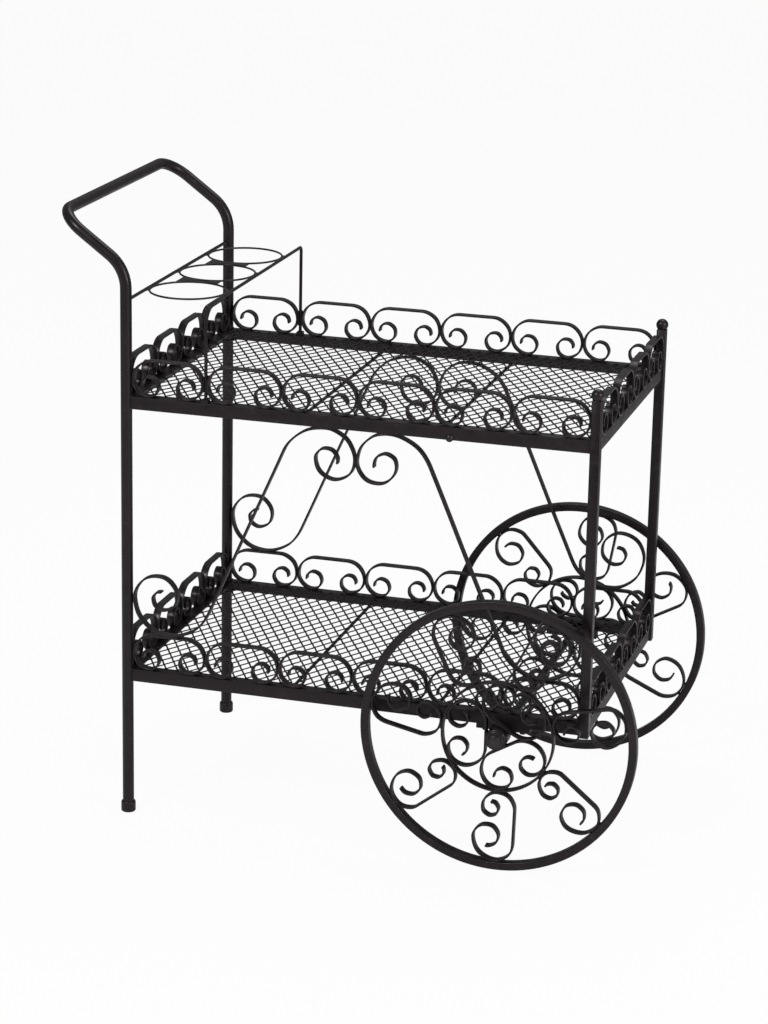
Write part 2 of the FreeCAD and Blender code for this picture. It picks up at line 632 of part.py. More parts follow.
clamps = new_body("axle_clamp_bolts", at_x="Dims.mid_x + Dims.wheel_x", at_z="Dims.wheel_r")
seat = "Dims.axle_d + 2 * Dims.fit"
for place, side, turn in (("front", "-", 0), ("back", "", 180)):
    at_x = "Dims.mid_x + Dims.wheel_x"
    around = f"{side}(Dims.saddle_in_y + Dims.saddle_w / 2)"
    outer_y = dim("wheel_y") + dim("hub_w") / 2 + dim("end_play")

    saddle = new_body(f"axle_saddle_{place}", at_x=at_x, at_y=around, at_z="Dims.wheel_r")
    outline = new_sketch(saddle, "XZ_Plane", "outline", shift_y="Dims.saddle_h / 2")
    add_rectangle(outline, "Dims.saddle_l", "Dims.saddle_h")
    add_pad(saddle, outline, "Dims.saddle_w", middle=True)
    notch = new_sketch(saddle, "XZ_Plane", "notch")
    add_circle(notch, seat)
    add_pocket(saddle, notch, "2 * Dims.saddle_w", middle=True)

    strap = new_body(f"axle_strap_{place}", at_x=at_x, at_y=around, at_z="Dims.wheel_r")
    outline = new_sketch(strap, "XZ_Plane", "outline")
    reach, thick = dim("saddle_l") / 2, dim("strap_t")
    inner = dim("axle_d") / 2 + dim("fit")
    outer = inner + thick
    waist = math.sqrt(outer**2 - thick**2)
    dip = math.asin(thick / outer)
    outline.addGeometry(Part.ArcOfCircle(Part.Circle(Vec(), UP, inner), math.pi, 2 * math.pi))
    outline.addGeometry(Part.ArcOfCircle(Part.Circle(Vec(), UP, outer), math.pi + dip, 2 * math.pi - dip))
    for way in (-1, 1):
        ear = [(way * inner, 0), (way * reach, 0), (way * reach, -thick), (way * waist, -thick)]
        for here, after in zip(ear, ear[1:]):
            outline.addGeometry(Part.LineSegment(Vec(*here), Vec(*after)))
    add_pad(strap, outline, "Dims.saddle_w", middle=True)

    for number, way in enumerate(("-", "")):
        spot = {"shift_x": f"{way}Dims.clamp_x"}
        for body, depth, up in ((saddle, "Dims.saddle_h", True), (strap, "2 * Dims.strap_t", False)):
            hole = new_sketch(body, "XY_Plane", f"hole_{number}", **spot)
            add_circle(hole, "Dims.clamp_d + 2 * Dims.fit")
            add_pocket(body, hole, depth, up=up)
        spot["shift_y"] = around
        head = new_sketch(clamps, "XY_Plane", f"head_{place}_{number}", lift="-Dims.strap_t", **spot)
        reach = dim("clamp_head") / math.sqrt(3)
        around_bolt = [math.radians(angle) for angle in range(0, 360, 60)]
        add_outline(head, [(reach * math.cos(a), reach * math.sin(a)) for a in around_bolt])
        add_pad(clamps, head, "Dims.clamp_head_h", down=True)
        shank = new_sketch(clamps, "XY_Plane", f"shank_{place}_{number}", lift="-Dims.strap_t", **spot)
        add_circle(shank, "Dims.clamp_d")
        add_pad(clamps, shank, "Dims.strap_t + Dims.clamp_l")

    collar_l = "Dims.wheel_y - Dims.hub_w / 2 - Dims.end_play - Dims.collar_in_y"
    for name, diameter, length, near in (
        ("collar", "Dims.collar_d", collar_l, "Dims.collar_in_y"),
        ("washer", "Dims.washer_d", "Dims.washer_t", f"{outer_y}"),
    ):
        piece = new_body(f"axle_{name}_{place}", turn, at_x=at_x, at_y=f"{side}({near})", at_z="Dims.wheel_r")
        outline = new_sketch(piece, "XZ_Plane", "outline")
        add_circle(outline, diameter, start=40)
        add_circle(outline, seat)
        add_pad(piece, outline, length)

    near = outer_y + dim("washer_t")
    cap = new_body(f"axle_cap_{place}", turn, at_x=at_x, at_y=f"{side}{near}", at_z="Dims.wheel_r")
    outline = new_sketch(cap, "XY_Plane", "outline")
    radius, height, bore = dim("collar_d") / 2, dim("cap_nut_h"), dim("axle_d") / 2 + dim("fit")
    depth = dim("axle_half") - near + 1
    dome = [(radius, 0), (radius, 3 - height), (radius - 1.5, 1 - height), (radius - 4, -height)]
    add_outline(outline, [(bore, 0)] + dome + [(0, -height), (0, -depth), (bore, -depth)])
    add_turned(cap, outline)

# ---------------------------------------------------------------------------------------- wheels


# the outer scrolls of a wheel: degrees away from an even spacing, millimetres slimmer
OUTER_SCROLLS = ((-1, 3), (-1, 2), (-0.5, 0), (1, -2), (-1, 5), (-1, 0), (-1, 5))


def outer_scroll(slimmer):
    """Scroll with a straight spine; it starts on the spine and points out along +x."""
    half = slimmer / 2
    hub_side, rim_side, spine_y = 109.5 - half, 164.4 + half, 30.5 - slimmer
    inner = [(24 - half, 90), (24 - half, 90), (13, 90), (11, 90), (10.5, 95)]
    outer = [(27 - half, 90), (33 - half, 90), (21, 90), (17, 90), (16, 100)]
    back = Path(hub_side, spine_y, 180, [("bend", r, a) for r, a in inner])
    spine_run = [("run", rim_side - hub_side)]
    return joined(back, Path(hub_side, spine_y, 0, spine_run + [("bend", r, -a) for r, a in outer]))


for place, side, turn, phase in (("front", "-", 0, 0), ("back", "", 180, dim("back_wheel_turn"))):
    spot = {"at_x": "Dims.mid_x + Dims.wheel_x", "at_y": f"{side}Dims.wheel_y", "at_z": "Dims.wheel_r"}

    rim = new_body(f"wheel_rim_{place}", turn, **spot)
    section = new_sketch(rim, "XZ_Plane", "section")
    add_circle(section, "2 * Dims.wheel_r", start=400)
    add_circle(section, "2 * (Dims.wheel_r - Dims.rim_t)", start=300)
    bar = add_pad(rim, section, "Dims.rim_w", middle=True)
    round_off = rim.newObject("PartDesign::Fillet", f"wheel_rim_{place}_round")
    round_off.Base = (bar, [f"Edge{n + 1}" for n, e in enumerate(bar.Shape.Edges) if len(e.Vertexes) == 1])
    round_off.setExpression("Radius", "Dims.rim_round")
    doc.recompute()

    ring = new_body(f"wheel_inner_ring_{place}", turn, **spot)
    section = new_sketch(ring, "XZ_Plane", "section")
    add_circle(section, "2 * Dims.inner_ring_r + Dims.strip_t", start=200)
    add_circle(section, "2 * Dims.inner_ring_r - Dims.strip_t", start=100)
    add_pad(ring, section, "Dims.strip_w", middle=True)

    scrolls = new_body(f"wheel_outer_scrolls_{place}", turn, **spot)
    outline = new_sketch(scrolls, "XZ_Plane", "outline")
    for number, (shift, slimmer) in enumerate(OUTER_SCROLLS):
        angle = dim("outer_turn") + phase + shift + number * 360 / len(OUTER_SCROLLS)
        add_strip(outline, outer_scroll(slimmer).placed(0, 0, angle))
    add_pad(scrolls, outline, "Dims.strip_w", middle=True)

    scrolls = new_body(f"wheel_hub_scrolls_{place}", turn, **spot)
    outline = new_sketch(scrolls, "XZ_Plane", "outline")
    count = int(dim("hub_count"))
    back_r = (dim("hub_d") + dim("strip_t")) / 2
    for number in range(count):
        angle = dim("hub_turn") + phase + number * 360 / count
        hub_scroll = scroll(18.8, [(31, 90), (24.8, 90), (16, 90), (13, 155)])
        around = math.radians(angle)
        place_at = (back_r * math.cos(around), back_r * math.sin(around), angle)
        add_strip(outline, hub_scroll.placed(*place_at))
    add_pad(scrolls, outline, "Dims.strip_w", middle=True)

    hub = new_body(f"wheel_hub_{place}", turn, **spot)
    section = new_sketch(hub, "XZ_Plane", "section")
    add_circle(section, "Dims.hub_d", start=40)
    add_circle(section, "Dims.axle_d + 2 * Dims.running_fit")
    barrel = add_pad(hub, section, "Dims.hub_w", middle=True)
    outer_edges = [
        f"Edge{n + 1}"
        for n, e in enumerate(barrel.Shape.Edges)
        if len(e.Vertexes) == 1 and e.Curve.Radius > dim("axle_d")
    ]
    bevel = hub.newObject("PartDesign::Chamfer", f"wheel_hub_{place}_bevel")
    bevel.Base = (barrel, outer_edges)
    bevel.setExpression("Size", "Dims.hub_bevel")
    doc.recompute()

# ------------------------------------------------------------------------------ check and export

doc.recompute()
for item in doc.Objects:
    if "Invalid" in item.State or "Error" in item.State:
        raise RuntimeError(f"{item.Name} did not build")
for node in nodes:
    if node.Shape.isNull() or not node.Shape.isValid() or not node.Shape.Solids:
        raise RuntimeError(f"{node.Label} has no valid solid")

os.makedirs("parts", exist_ok=True)
for node in nodes:
    node.Shape.exportStep(f"parts/{node.Label}.step")
    box = node.Shape.BoundBox
    print(
        f"{node.Label:28s} {len(node.Shape.Solids)} solid(s) "
        f"x {box.XMin:.1f}..{box.XMax:.1f} y {box.YMin:.1f}..{box.YMax:.1f} "
        f"z {box.ZMin:.1f}..{box.ZMax:.1f} volume {node.Shape.Volume:.0f}"
    )
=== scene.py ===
import math
import random

import bmesh
import bpy
from mathutils import Matrix, Vector


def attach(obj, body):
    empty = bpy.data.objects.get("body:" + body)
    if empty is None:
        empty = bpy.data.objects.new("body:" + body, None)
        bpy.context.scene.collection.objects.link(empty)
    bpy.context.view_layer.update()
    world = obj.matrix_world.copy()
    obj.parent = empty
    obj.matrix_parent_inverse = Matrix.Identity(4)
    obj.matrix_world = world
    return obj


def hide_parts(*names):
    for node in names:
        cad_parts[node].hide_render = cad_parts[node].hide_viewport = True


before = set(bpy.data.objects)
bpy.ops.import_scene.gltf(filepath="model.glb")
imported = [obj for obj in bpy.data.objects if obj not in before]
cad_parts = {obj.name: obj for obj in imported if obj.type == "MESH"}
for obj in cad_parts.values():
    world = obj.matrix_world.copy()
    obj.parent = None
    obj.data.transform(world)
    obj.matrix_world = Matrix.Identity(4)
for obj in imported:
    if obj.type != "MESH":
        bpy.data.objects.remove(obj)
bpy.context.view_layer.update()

# Two-tier wrought-iron flower cart. All sizes below are in millimetres, in the frame of the solids:
# +X to the wheels, +Y to the back, +Z up; MM turns them into scene units.
MM = 0.001
MID_X = 12.5
HALF_X, HALF_Y = 354.0, 229.0
UPRIGHT_X, UPRIGHT_Y = 350.0, 225.0
TUBE_R, POST_HALF = 8.5, 7.25
UPPER_Z, LOWER_Z = 651.0, 230.0
STRIP_T, STRIP_W = 3.0, 12.0
STRIP_IN_Y, STRIP_IN_X = 216.0, 344.0
GALLERY_H = 56.0
RACK_Z, RACK_LEG_X, RACK_LEG_Y = 792.0, -228.5, 222.0
RING_X, RING_R, RING_PITCH = -289.25, 56.7, 129.0
WHEEL_X, WHEEL_Y, WHEEL_R = 230.0, 255.6, 205.0
BACK_TURN = 36.3


# ------------------------------------------------------------------------------------ materials


def mix(a, b, t):
    return tuple(x + (y - x) * t for x, y in zip(a, b))


def paint(name, dark, light, rough, peel=0.25, dents=0.3, dust=0.25):
    """Brush-and-spray enamel on iron: uneven tone, orange peel, soft dents and dull dusty patches."""
    material = bpy.data.materials.new(name)
    material.use_nodes = True
    nodes, links = material.node_tree.nodes, material.node_tree.links
    shader = nodes["Principled BSDF"]
    place = nodes.new("ShaderNodeTexCoord")

    def noise(scale, detail=4.0, roughness=0.55):
        node = nodes.new("ShaderNodeTexNoise")
        node.inputs["Scale"].default_value = scale
        node.inputs["Detail"].default_value = detail
        node.inputs["Roughness"].default_value = roughness
        links.new(place.outputs["Object"], node.inputs["Vector"])
        return node.outputs["Fac"]

    def ramp(value, stops):
        node = nodes.new("ShaderNodeValToRGB")
        while len(node.color_ramp.elements) < len(stops):
            node.color_ramp.elements.new(0.5)
        for element, (spot, colour) in zip(node.color_ramp.elements, stops):
            element.position = spot
            element.color = (*colour, 1.0)
        links.new(value, node.inputs["Fac"])
        return node.outputs["Color"]

    def span(value, low, high, to_low, to_high):
        node = nodes.new("ShaderNodeMapRange")
        for socket, number in zip(("From Min", "From Max", "To Min", "To Max"), (low, high, to_low, to_high)):
            node.inputs[socket].default_value = number
        links.new(value, node.inputs["Value"])
        return node.outputs["Result"]

    def blend(factor, a, b):
        node = nodes.new("ShaderNodeMix")
        node.data_type = "RGBA"
        links.new(factor, node.inputs["Factor"])
        links.new(a, node.inputs["A"])
        node.inputs["B"].default_value = (*b, 1.0)
        return node.outputs["Result"]

    tone = ramp(noise(26.0, 6.0), [(0.32, dark), (0.52, mix(dark, light, 0.45)), (0.72, light)])
    worn = mix(light, (0.13, 0.10, 0.085), 0.5)
    patches = span(noise(75.0, 7.0, 0.7), 0.56, 0.74, 0.0, dust)
    chips = span(noise(310.0, 3.0, 0.5), 0.71, 0.74, 0.0, 0.55)
    colour = blend(patches, tone, worn)
    colour = blend(chips, colour, (0.10, 0.085, 0.078))
    links.new(colour, shader.inputs["Base Color"])
    links.new(span(noise(60.0, 5.0), 0.3, 0.7, rough - 0.07, rough + 0.12), shader.inputs["Roughness"])
    shader.inputs["Specular IOR Level"].default_value = 0.4
    shader.inputs["Specular Tint"].default_value = (1.0, 0.9, 0.95, 1.0)
    shader.inputs["Coat Weight"].default_value = 0.06
    shader.inputs["Coat Roughness"].default_value = 0.22

    normal = None
    for scale, strength, depth in ((1500.0, peel, 0.00012), (170.0, dents, 0.0006)):
        bump = nodes.new("ShaderNodeBump")
        bump.inputs["Strength"].default_value = strength
        bump.inputs["Distance"].default_value = depth
        links.new(noise(scale, 3.0), bump.inputs["Height"])
        if normal:
            links.new(normal, bump.inputs["Normal"])
        normal = bump.outputs["Normal"]
    links.new(normal, shader.inputs["Normal"])
    return material


DARK, LIGHT = (0.0046, 0.0030, 0.0038), (0.0105, 0.0072, 0.0087)
TUBE = paint("tube_enamel", DARK, LIGHT, 0.36, peel=0.2, dents=0.16)
FRAME = paint("angle_iron_enamel", DARK, LIGHT, 0.45, peel=0.3, dents=0.35)
STRIP = paint("scroll_enamel", DARK, LIGHT, 0.34, peel=0.3, dents=0.5)
NET = paint("mesh_enamel", mix(DARK, (0, 0, 0), 0.4), mix(DARK, LIGHT, 0.5), 0.5, peel=0.2, dents=0.2)
WHEEL = paint("wheel_enamel", DARK, LIGHT, 0.36, peel=0.3, dents=0.5, dust=0.35)
WELD = paint("weld_enamel", DARK, LIGHT, 0.38, peel=0.3, dents=0.8, dust=0.35)
STEEL = paint("fastener_enamel", DARK, mix(LIGHT, (0.06, 0.055, 0.05), 0.3), 0.34, dust=0.4)

# ----------------------------------------------------------------------------- building by rings


class Shell:
    """Closed skins gathered into one piece."""

    def __init__(self):
        self.points, self.faces = [], []

    def skin(self, rings, closed=False):
        """Faces between rings of equally many points, with flat ends unless the rings close."""
        size, first = len(rings[0]), len(self.points)
        self.points += [point for ring in rings for point in ring]
        count = len(rings)
        for k in range(count if closed else count - 1):
            a, b = first + k * size, first + (k + 1) % count * size
            for i in range(size):
                j = (i + 1) % size
                self.faces.append((a + i, a + j, b + j, b + i))
        if not closed:
            self.faces.append(tuple(range(first + size - 1, first - 1, -1)))
            last = first + (count - 1) * size
            self.faces.append(tuple(range(last, last + size)))

    def build(self, name, material, body, slot, *nodes, sharp=40):
        mesh = bpy.data.meshes.new(name)
        mesh.from_pydata([(x * MM, y * MM, z * MM) for x, y, z in self.points], [], self.faces)
        work = bmesh.new()
        work.from_mesh(mesh)
        bmesh.ops.recalc_face_normals(work, faces=work.faces)
        work.to_mesh(mesh)
        work.free()
        mesh.polygons.foreach_set("use_smooth", [True] * len(mesh.polygons))
        mesh.set_sharp_from_angle(angle=math.radians(sharp))
        mesh.materials.append(material)
        piece = bpy.data.objects.new(name, mesh)
        bpy.context.scene.collection.objects.link(piece)
        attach(piece, body)
        if nodes:
            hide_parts(*nodes)
        return piece


def rounded_section(half_a, half_b, radius, steps=3):
    """Closed outline of a rectangle with rounded corners."""
    outline = []
    for k, (sa, sb) in enumerate(((1, 1), (-1, 1), (-1, -1), (1, -1))):
        for step in range(steps + 1):
            angle = math.radians(90 * (k + step / steps))
            a = sa * (half_a - radius) + radius * math.cos(angle)
            b = sb * (half_b - radius) + radius * math.sin(angle)
            outline.append((a, b))
    return outline


def softened(corners, radius, steps=2):
    """Points of a polyline through 3-D corners, each corner turned into an arc of its radius."""
    corners = [Vector(c) for c in corners]
    points = [corners[0]]
    for before, corner, after, r in zip(corners, corners[1:], corners[2:], radius):
        way_in, way_out = (corner - before).normalized(), (after - corner).normalized()
        turn = way_in.angle(way_out)
        start = corner - way_in * r * math.tan(turn / 2)
        side = (way_out - way_in * way_in.dot(way_out)).normalized()
        count = max(2, int(math.degrees(turn) / 90 * steps * 8))
        for k in range(count + 1):
            t = turn * k / count
            points.append(start + way_in * r * math.sin(t) + side * r * (1 - math.cos(t)))
    points.append(corners[-1])
    return points


def tube_rings(points, radius, sides=24, closed=False, swell=None):
    """Round rings square to a path, carried along it without twist."""
    points = [Vector(p) for p in points]
    count = len(points)
    rings, side = [], None
    for k, point in enumerate(points):
        ahead = points[(k + 1) % count] if closed or k + 1 < count else point
        behind = points[k - 1] if closed or k else point
        along = (ahead - behind).normalized()
        if side is None:
            side = along.orthogonal().normalized()
        side = (side - along * side.dot(along)).normalized()
        across = along.cross(side)
        r = radius * (swell(k / (count - 1)) if swell else 1.0)
        ring = []
        for n in range(sides):
            t = 2 * math.pi * n / sides
            ring.append(point + side * r * math.cos(t) + across * r * math.sin(t))
        rings.append(ring)
    return rings


def circle(centre, radius, count, up=(0, 0, 1), first=0.0, sweep=360.0):
    up = Vector(up).normalized()
    a = Vector((1, 0, 0)) if abs(up.x) < 0.5 else Vector((0, 1, 0))
    b = up.cross(a)
    full = sweep >= 360
    points = []
    for k in range(count if full else count + 1):
        t = math.radians(first + sweep * k / count)
        points.append(Vector(centre) + a * radius * math.cos(t) + b * radius * math.sin(t))
    return points


def lathe(shell, centre, axis, outline, sides=48):
    """Turned solid: outline points (radius, height along the axis); a zero radius closes an end."""
    axis = Vector(axis).normalized()
    rings = []
    for radius, height in outline:
        rings.append(circle(Vector(centre) + axis * height, max(radius, 0.02), sides, axis))
    shell.skin(rings, closed=outline[0][0] > 0.5 and outline[-1][0] > 0.5 and outline[0] != outline[-1])


class Path:
    """Centre line of a bent strip: runs ("run", length) and bends ("bend", radius, angle)."""

    def __init__(self, x, y, heading, moves):
        self.x, self.y, self.heading, self.moves = x, y, heading, moves

    def samples(self):
        """Points and headings along the line, close enough together for smooth bends."""
        x, y, heading = self.x, self.y, self.heading
        line = [(x, y, heading)]
        for move in self.moves:
            angle = math.radians(heading)
            if move[0] == "run":
                count = max(1, round(move[1] / 30))
                for k in range(1, count + 1):
                    reach = move[1] * k / count
                    line.append((x + reach * math.cos(angle), y + reach * math.sin(angle), heading))
            else:
                side = math.copysign(move[1], move[2])
                centre = (x - side * math.sin(angle), y + side * math.cos(angle))
                count = max(3, math.ceil(abs(move[2]) / (7.5 if move[1] < 40 else 5)))
                for k in range(1, count + 1):
                    now = heading + move[2] * k / count
                    t = math.radians(now)
                    line.append((centre[0] + side * math.sin(t), centre[1] - side * math.cos(t), now))
            x, y, heading = line[-1]
        return line

    def reversed(self):
        x, y, heading = self.samples()[-1]
        back = [m if m[0] == "run" else (m[0], m[1], -m[2]) for m in self.moves[::-1]]
        return Path(x, y, heading + 180, back)

    def flipped(self):
        flip = [m if m[0] == "run" else (m[0], m[1], -m[2]) for m in self.moves]
        return Path(self.x, -self.y, -self.heading, flip)

    def placed(self, x, y, turn):
        c, s = math.cos(math.radians(turn)), math.sin(math.radians(turn))
        spot = (x + self.x * c - self.y * s, y + self.x * s + self.y * c)
        return Path(*spot, self.heading + turn, self.moves)


def joined(back, ahead):
    whole = back.reversed()
    return Path(whole.x, whole.y, whole.heading, whole.moves + ahead.moves)


def bends(*pairs, side=1):
    return [("bend", radius, side * angle) for radius, angle in pairs]


def scroll(half_run, *pairs):
    half = Path(0, 0, 90, [("run", half_run)] + bends(*pairs, side=-1))
    return joined(half.flipped(), half)


def strip(shell, path, place, wobble=0.12):
    """Flat bar bent on edge along a path, its edges rounded and its two ends eased."""
    line = path.samples()
    section = rounded_section(STRIP_T / 2, STRIP_W / 2, 0.75)
    phase = random.uniform(0, 6.28)
    rings = []
    for k, (x, y, heading) in enumerate(line):
        t = math.radians(heading)
        along, left = (math.cos(t), math.sin(t)), (-math.sin(t), math.cos(t))
        shift = wobble * math.sin(0.9 * k + phase)
        ends = (0, len(line) - 1)
        if k in ends:
            outward = -1 if k == 0 else 1
            eased = [(0.8, 1.0, 1.0), (0.25, 0.93, 0.98), (0.0, 0.62, 0.93)]
            for back, thin, narrow in eased[:: -outward]:
                reach = -outward * back
                rings.append(
                    [
                        place(
                            x + along[0] * reach + left[0] * a * thin,
                            y + along[1] * reach + left[1] * a * thin,
                            b * narrow,
                        )
                        for a, b in section
                    ]
                )
            continue
        rings.append([place(x + left[0] * (a + shift), y + left[1] * (a + shift), b) for a, b in section])
    shell.skin(rings)


def bead(shell, points, radius):
    """Run of weld: a rippled bead that swells and fades at its ends."""
    points = [Vector(p) for p in points]
    count = max(6, int((points[-1] - points[0]).length / 0.9) if len(points) == 2 else len(points))
    if len(points) == 2:
        points = [points[0].lerp(points[1], k / count) for k in range(count + 1)]
    jitter = [random.uniform(0.86, 1.14) for _ in points]

    def swell(t):
        ends = min(1.0, 6.0 * min(t, 1 - t) + 0.25)
        return ends * jitter[min(int(t * (len(points) - 1) + 0.5), len(points) - 1)]

    shell.skin(tube_rings(points, radius, 8, swell=swell))


def long_side(sign):
    """Plane of the ironwork on the front (-1) or back (1) long side."""
    y = sign * (STRIP_IN_Y + STRIP_W / 2)
    return lambda u, v, w: (MID_X + u, y + w, v)


def short_side(sign):
    x = MID_X + sign * (STRIP_IN_X + STRIP_W / 2)
    return lambda u, v, w: (x + w, u, v)


def wheel_plane(sign):
    """Plane of a wheel; both wheels are the same piece, turned to face outwards."""
    return lambda u, v, w: (MID_X + WHEEL_X - sign * u, sign * (WHEEL_Y + w), WHEEL_R + v)


SIDES = (("front", -1), ("back", 1))
random.seed(11)

# ------------------------------------------------------------------------------- handle and posts

shell = Shell()
arm_x, arm_y = -UPRIGHT_X - 101.5, UPRIGHT_Y
corners = [(-UPRIGHT_X, -arm_y, 3.2), (-UPRIGHT_X, -arm_y, 840), (arm_x, -arm_y, 914)]
corners += [(arm_x, arm_y, 914), (-UPRIGHT_X, arm_y, 840), (-UPRIGHT_X, arm_y, 3.2)]
corners = [(x + MID_X, y, z) for x, y, z in corners]
shell.skin(tube_rings(softened(corners, (60, 42, 42, 60)), TUBE_R, 40))
shell.build("handle_tube", TUBE, "cart", "tube_paint", "handle_frame")

for place, sign in SIDES:
    foot = (MID_X - UPRIGHT_X, sign * UPRIGHT_Y, 0)
    shell = Shell()
    outline = [(0, 0), (8.6, 0), (9.8, 0.35), (10.6, 1.1), (11, 2.4), (11, 13.6), (10.9, 14.6)]
    outline += [(10.6, 15.7), (10.1, 16.5), (9.4, 17), (8.56, 17), (8.56, 3.1), (0, 3.1)]
    lathe(shell, foot, (0, 0, 1), outline)
    shell.build(f"foot_{place}", TUBE, "cart", "tube_paint", f"foot_cap_{place}")

    post = (MID_X + UPRIGHT_X, sign * UPRIGHT_Y)
    shell = Shell()
    outer = rounded_section(POST_HALF, POST_HALF, 1.4)
    inner = rounded_section(POST_HALF - 1.5, POST_HALF - 1.5, 0.5)
    trim = rounded_section(POST_HALF - 0.25, POST_HALF - 0.25, 1.2)
    rings = [(trim, 208), (outer, 208.4), (outer, 708.6), (trim, 709), (inner, 709), (inner, 208)]
    shell.skin([[(post[0] + a, post[1] + b, z) for a, b in ring] for ring, z in rings], closed=True)
    shell.build(f"post_{place}", TUBE, "cart", "tube_paint", f"wheel_post_{place}")

    shell = Shell()
    low = math.asin(-7 / 9.3)
    outline = [(0, -7)]
    for k in range(19):
        angle = low + (math.pi / 2 - low) * k / 18
        outline.append((9.3 * math.cos(angle), 9.3 * math.sin(angle)))
    lathe(shell, (*post, 716), (0, 0, 1), outline)
    shell.build(f"ball_{place}", TUBE, "cart", "tube_paint", f"finial_{place}")

# ------------------------------------------------------------------------------- trays


def net_points(half_x, half_y, cols, rows):
    """Expanded mesh: slanting strands between knuckles that stand on alternate lattice points."""
    step_x, step_y = 2 * half_x / cols, 2 * half_y / rows
    shell = Shell()
    wide, thick, lift = 1.3, 0.6, 0.36

    def knuckle(col, row, side):
        """End of a strand on the low (-1) or high (1) side of a knuckle."""
        x = col * step_x - half_x + side * 0.25
        return Vector((x, row * step_y - half_y, side * lift))

    for col in range(cols):
        for row in range(rows):
            up = (col + row) % 2 == 1
            a = knuckle(col, row if up else row + 1, 1)
            b = knuckle(col + 1, row + 1 if up else row, -1)
            along = (b - a).normalized()
            flat = Vector((-along.y, along.x, 0)).normalized()
            tilt = along.cross(flat)
            rings = []
            for t, width in ((-0.02, 0.7), (0.1, 1.0), (0.9, 1.0), (1.02, 0.7)):
                spot = a.lerp(b, t)
                box = [(wide, -0.3), (wide - 0.3, -thick), (0.3 - wide, -thick), (-wide, -0.3)]
                box += [(-wide, 0.3), (0.3 - wide, thick), (wide - 0.3, thick), (wide, 0.3)]
                rings.append([spot + flat * p * width + tilt * q for p, q in box])
            shell.skin(rings)
    for col in range(cols + 1):
        for row in range(rows + 1):
            if (col + row) % 2 == 0:
                continue
            x, y = col * step_x - half_x, row * step_y - half_y
            outline = [(0, -3.1), (1.0, -1.6), (1.25, 0), (1.0, 1.6)]
            outline += [(-p, -q) for p, q in outline]
            inside = [(p, q) for p, q in outline if abs(x + p) <= half_x and abs(y + q) <= half_y]
            if len(inside) < 5:
                continue
            rings = []
            for height in (-0.55, 0.55):
                rings.append([Vector((x + p, y + q, lift * p / 1.4 + height)) for p, q in inside])
            shell.skin(rings)
    return shell


net = net_points(338.5, 213.5, 75, 26)
for tier, top in (("upper", UPPER_Z), ("lower", LOWER_Z)):
    # Angle iron rim: an L section carried round four mitred corners.
    section = [(0.5, 0), (0.15, -0.15), (0, -0.5), (0, -18.6), (0.4, -19), (2.6, -19), (3, -18.6)]
    section += [(3, -4.5), (3.4, -3.5), (4.5, -3), (18.7, -3), (19, -2.6), (19, -0.4), (18.6, 0)]
    shell = Shell()
    rings = []
    for sx, sy in ((-1, -1), (1, -1), (1, 1), (-1, 1)):
        rings.append([(MID_X + sx * (HALF_X - a), sy * (HALF_Y - a), top + z) for a, z in section])
    shell.skin(rings, closed=True)
    shell.build(f"{tier}_rim", FRAME, "cart", "tube_paint", f"{tier}_tray_rim")

    shell = Shell()
    shell.faces = net.faces
    shell.points = [(x + MID_X, y, z + top + 1.0) for x, y, z in net.points]
    shell.build(f"{tier}_net", NET, "cart", "mesh_paint", f"{tier}_tray_mesh", sharp=50)

    shell = Shell()
    for rod_x in (-77 if tier == "upper" else -93, 130):
        ends = [(MID_X + rod_x, -210.0, top - 2.5), (MID_X + rod_x, 210.0, top - 2.5)]
        shell.skin(tube_rings(ends, 2.5, 20))
    shell.build(f"{tier}_rods", FRAME, "cart", "tube_paint", f"{tier}_tray_rods")

# ------------------------------------------------------------------------------- galleries


def gallery_scroll(width):
    return scroll((width - 0.2 - STRIP_T) / 2 - 29, (29, 90), (24, 90), (15, 90), (14, 90), (11, 100))


def gallery(name, widths, start, place, top):
    shell = Shell()
    welds = []
    for width in widths:
        middle = start + width / 2
        strip(shell, gallery_scroll(width).placed(middle, top + GALLERY_H - STRIP_T / 2, -90), place)
        foot = (width - 0.2 - STRIP_T) / 2 - 24
        for way in (-1, 1):
            for off in (-5.2, 5.2):
                spot = middle + way * foot + off
                welds.append((place(spot, top + 0.45, -5), place(spot, top + 0.45, 5), 1.1))
        start += width
        if width is not widths[-1]:
            for level in (21.5, 29.5):
                height = top + level
                welds.append((place(start, height, -5.4), place(start, height, 5.4), 1.0))
    shell.build(name + "_iron", STRIP, "cart", "strip_paint", name)
    return welds


